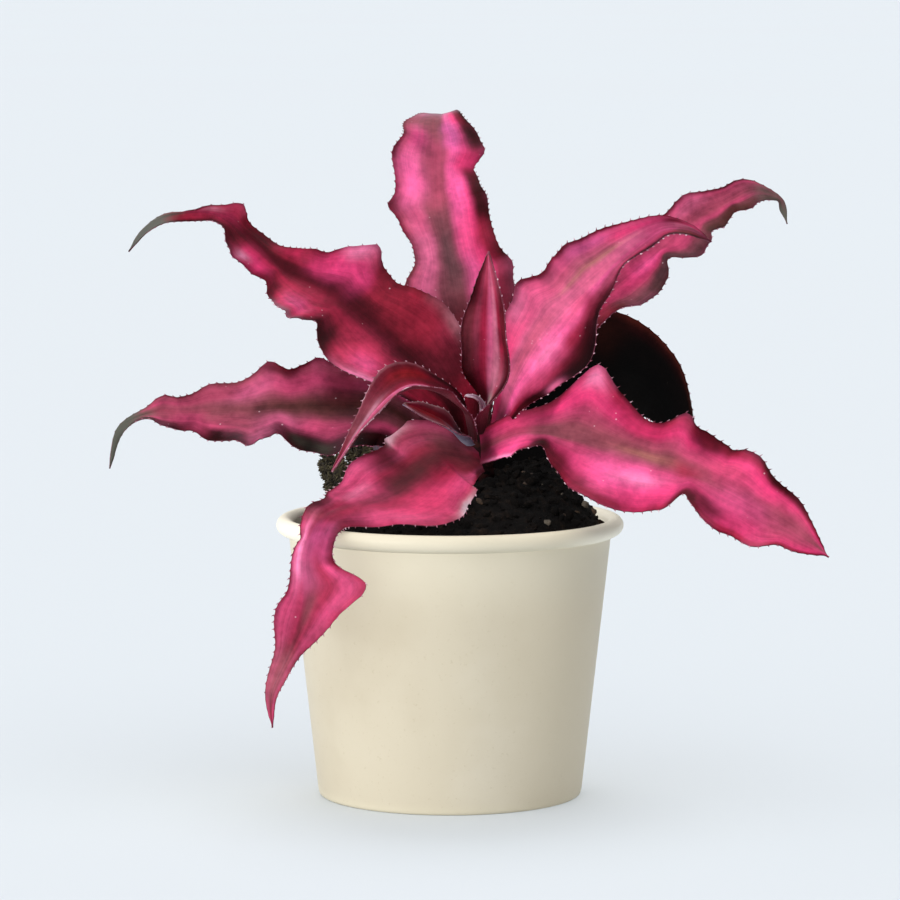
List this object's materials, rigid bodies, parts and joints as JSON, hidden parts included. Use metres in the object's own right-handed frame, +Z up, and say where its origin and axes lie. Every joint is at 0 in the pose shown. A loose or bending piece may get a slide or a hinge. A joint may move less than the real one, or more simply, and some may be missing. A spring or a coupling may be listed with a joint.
{
  "type": "potted earth star",
  "caption": "Rosette plant with waved, toothed, pink banded leaves, standing in a round tapered pot of soil with a rolled rim.",
  "frame": {"origin": "centre of the pot's underside", "axes": "+Z up out of the pot, -Y towards the front of the plant, +X to the right seen from the front"},
  "size_m": [0.2164, 0.1594, 0.2063],
  "materials": {
    "pot": "cream, satin",
    "soil": "dark crumbly potting soil, matte",
    "stem": "rough, ringed by old leaf scars",
    "leaf": "satin leaf, pink bands beside a brown middle, dark margins, silver grey underside",
    "shaded_leaf": "satin leaf, very dark maroon",
    "young_leaf": "satin leaf, rose over maroon, pale spines"
  },
  "bodies": {
    "root": {"pot": "pot", "soil": "soil", "stem": "stem", "leaf_rear_low": "leaf", "leaf_rear_right": "shaded_leaf", "leaf_left": "leaf", "leaf_back": "leaf", "leaf_far_right": "leaf", "leaf_front_right": "leaf", "leaf_front_left": "leaf", "leaf_upper_left": "leaf", "leaf_upper_right": "leaf", "leaf_heart_small": "young_leaf", "leaf_centre_arched": "young_leaf", "leaf_centre_upright": "young_leaf", "leaf_heart_curl": "young_leaf"}
  },
  "joints": []
}
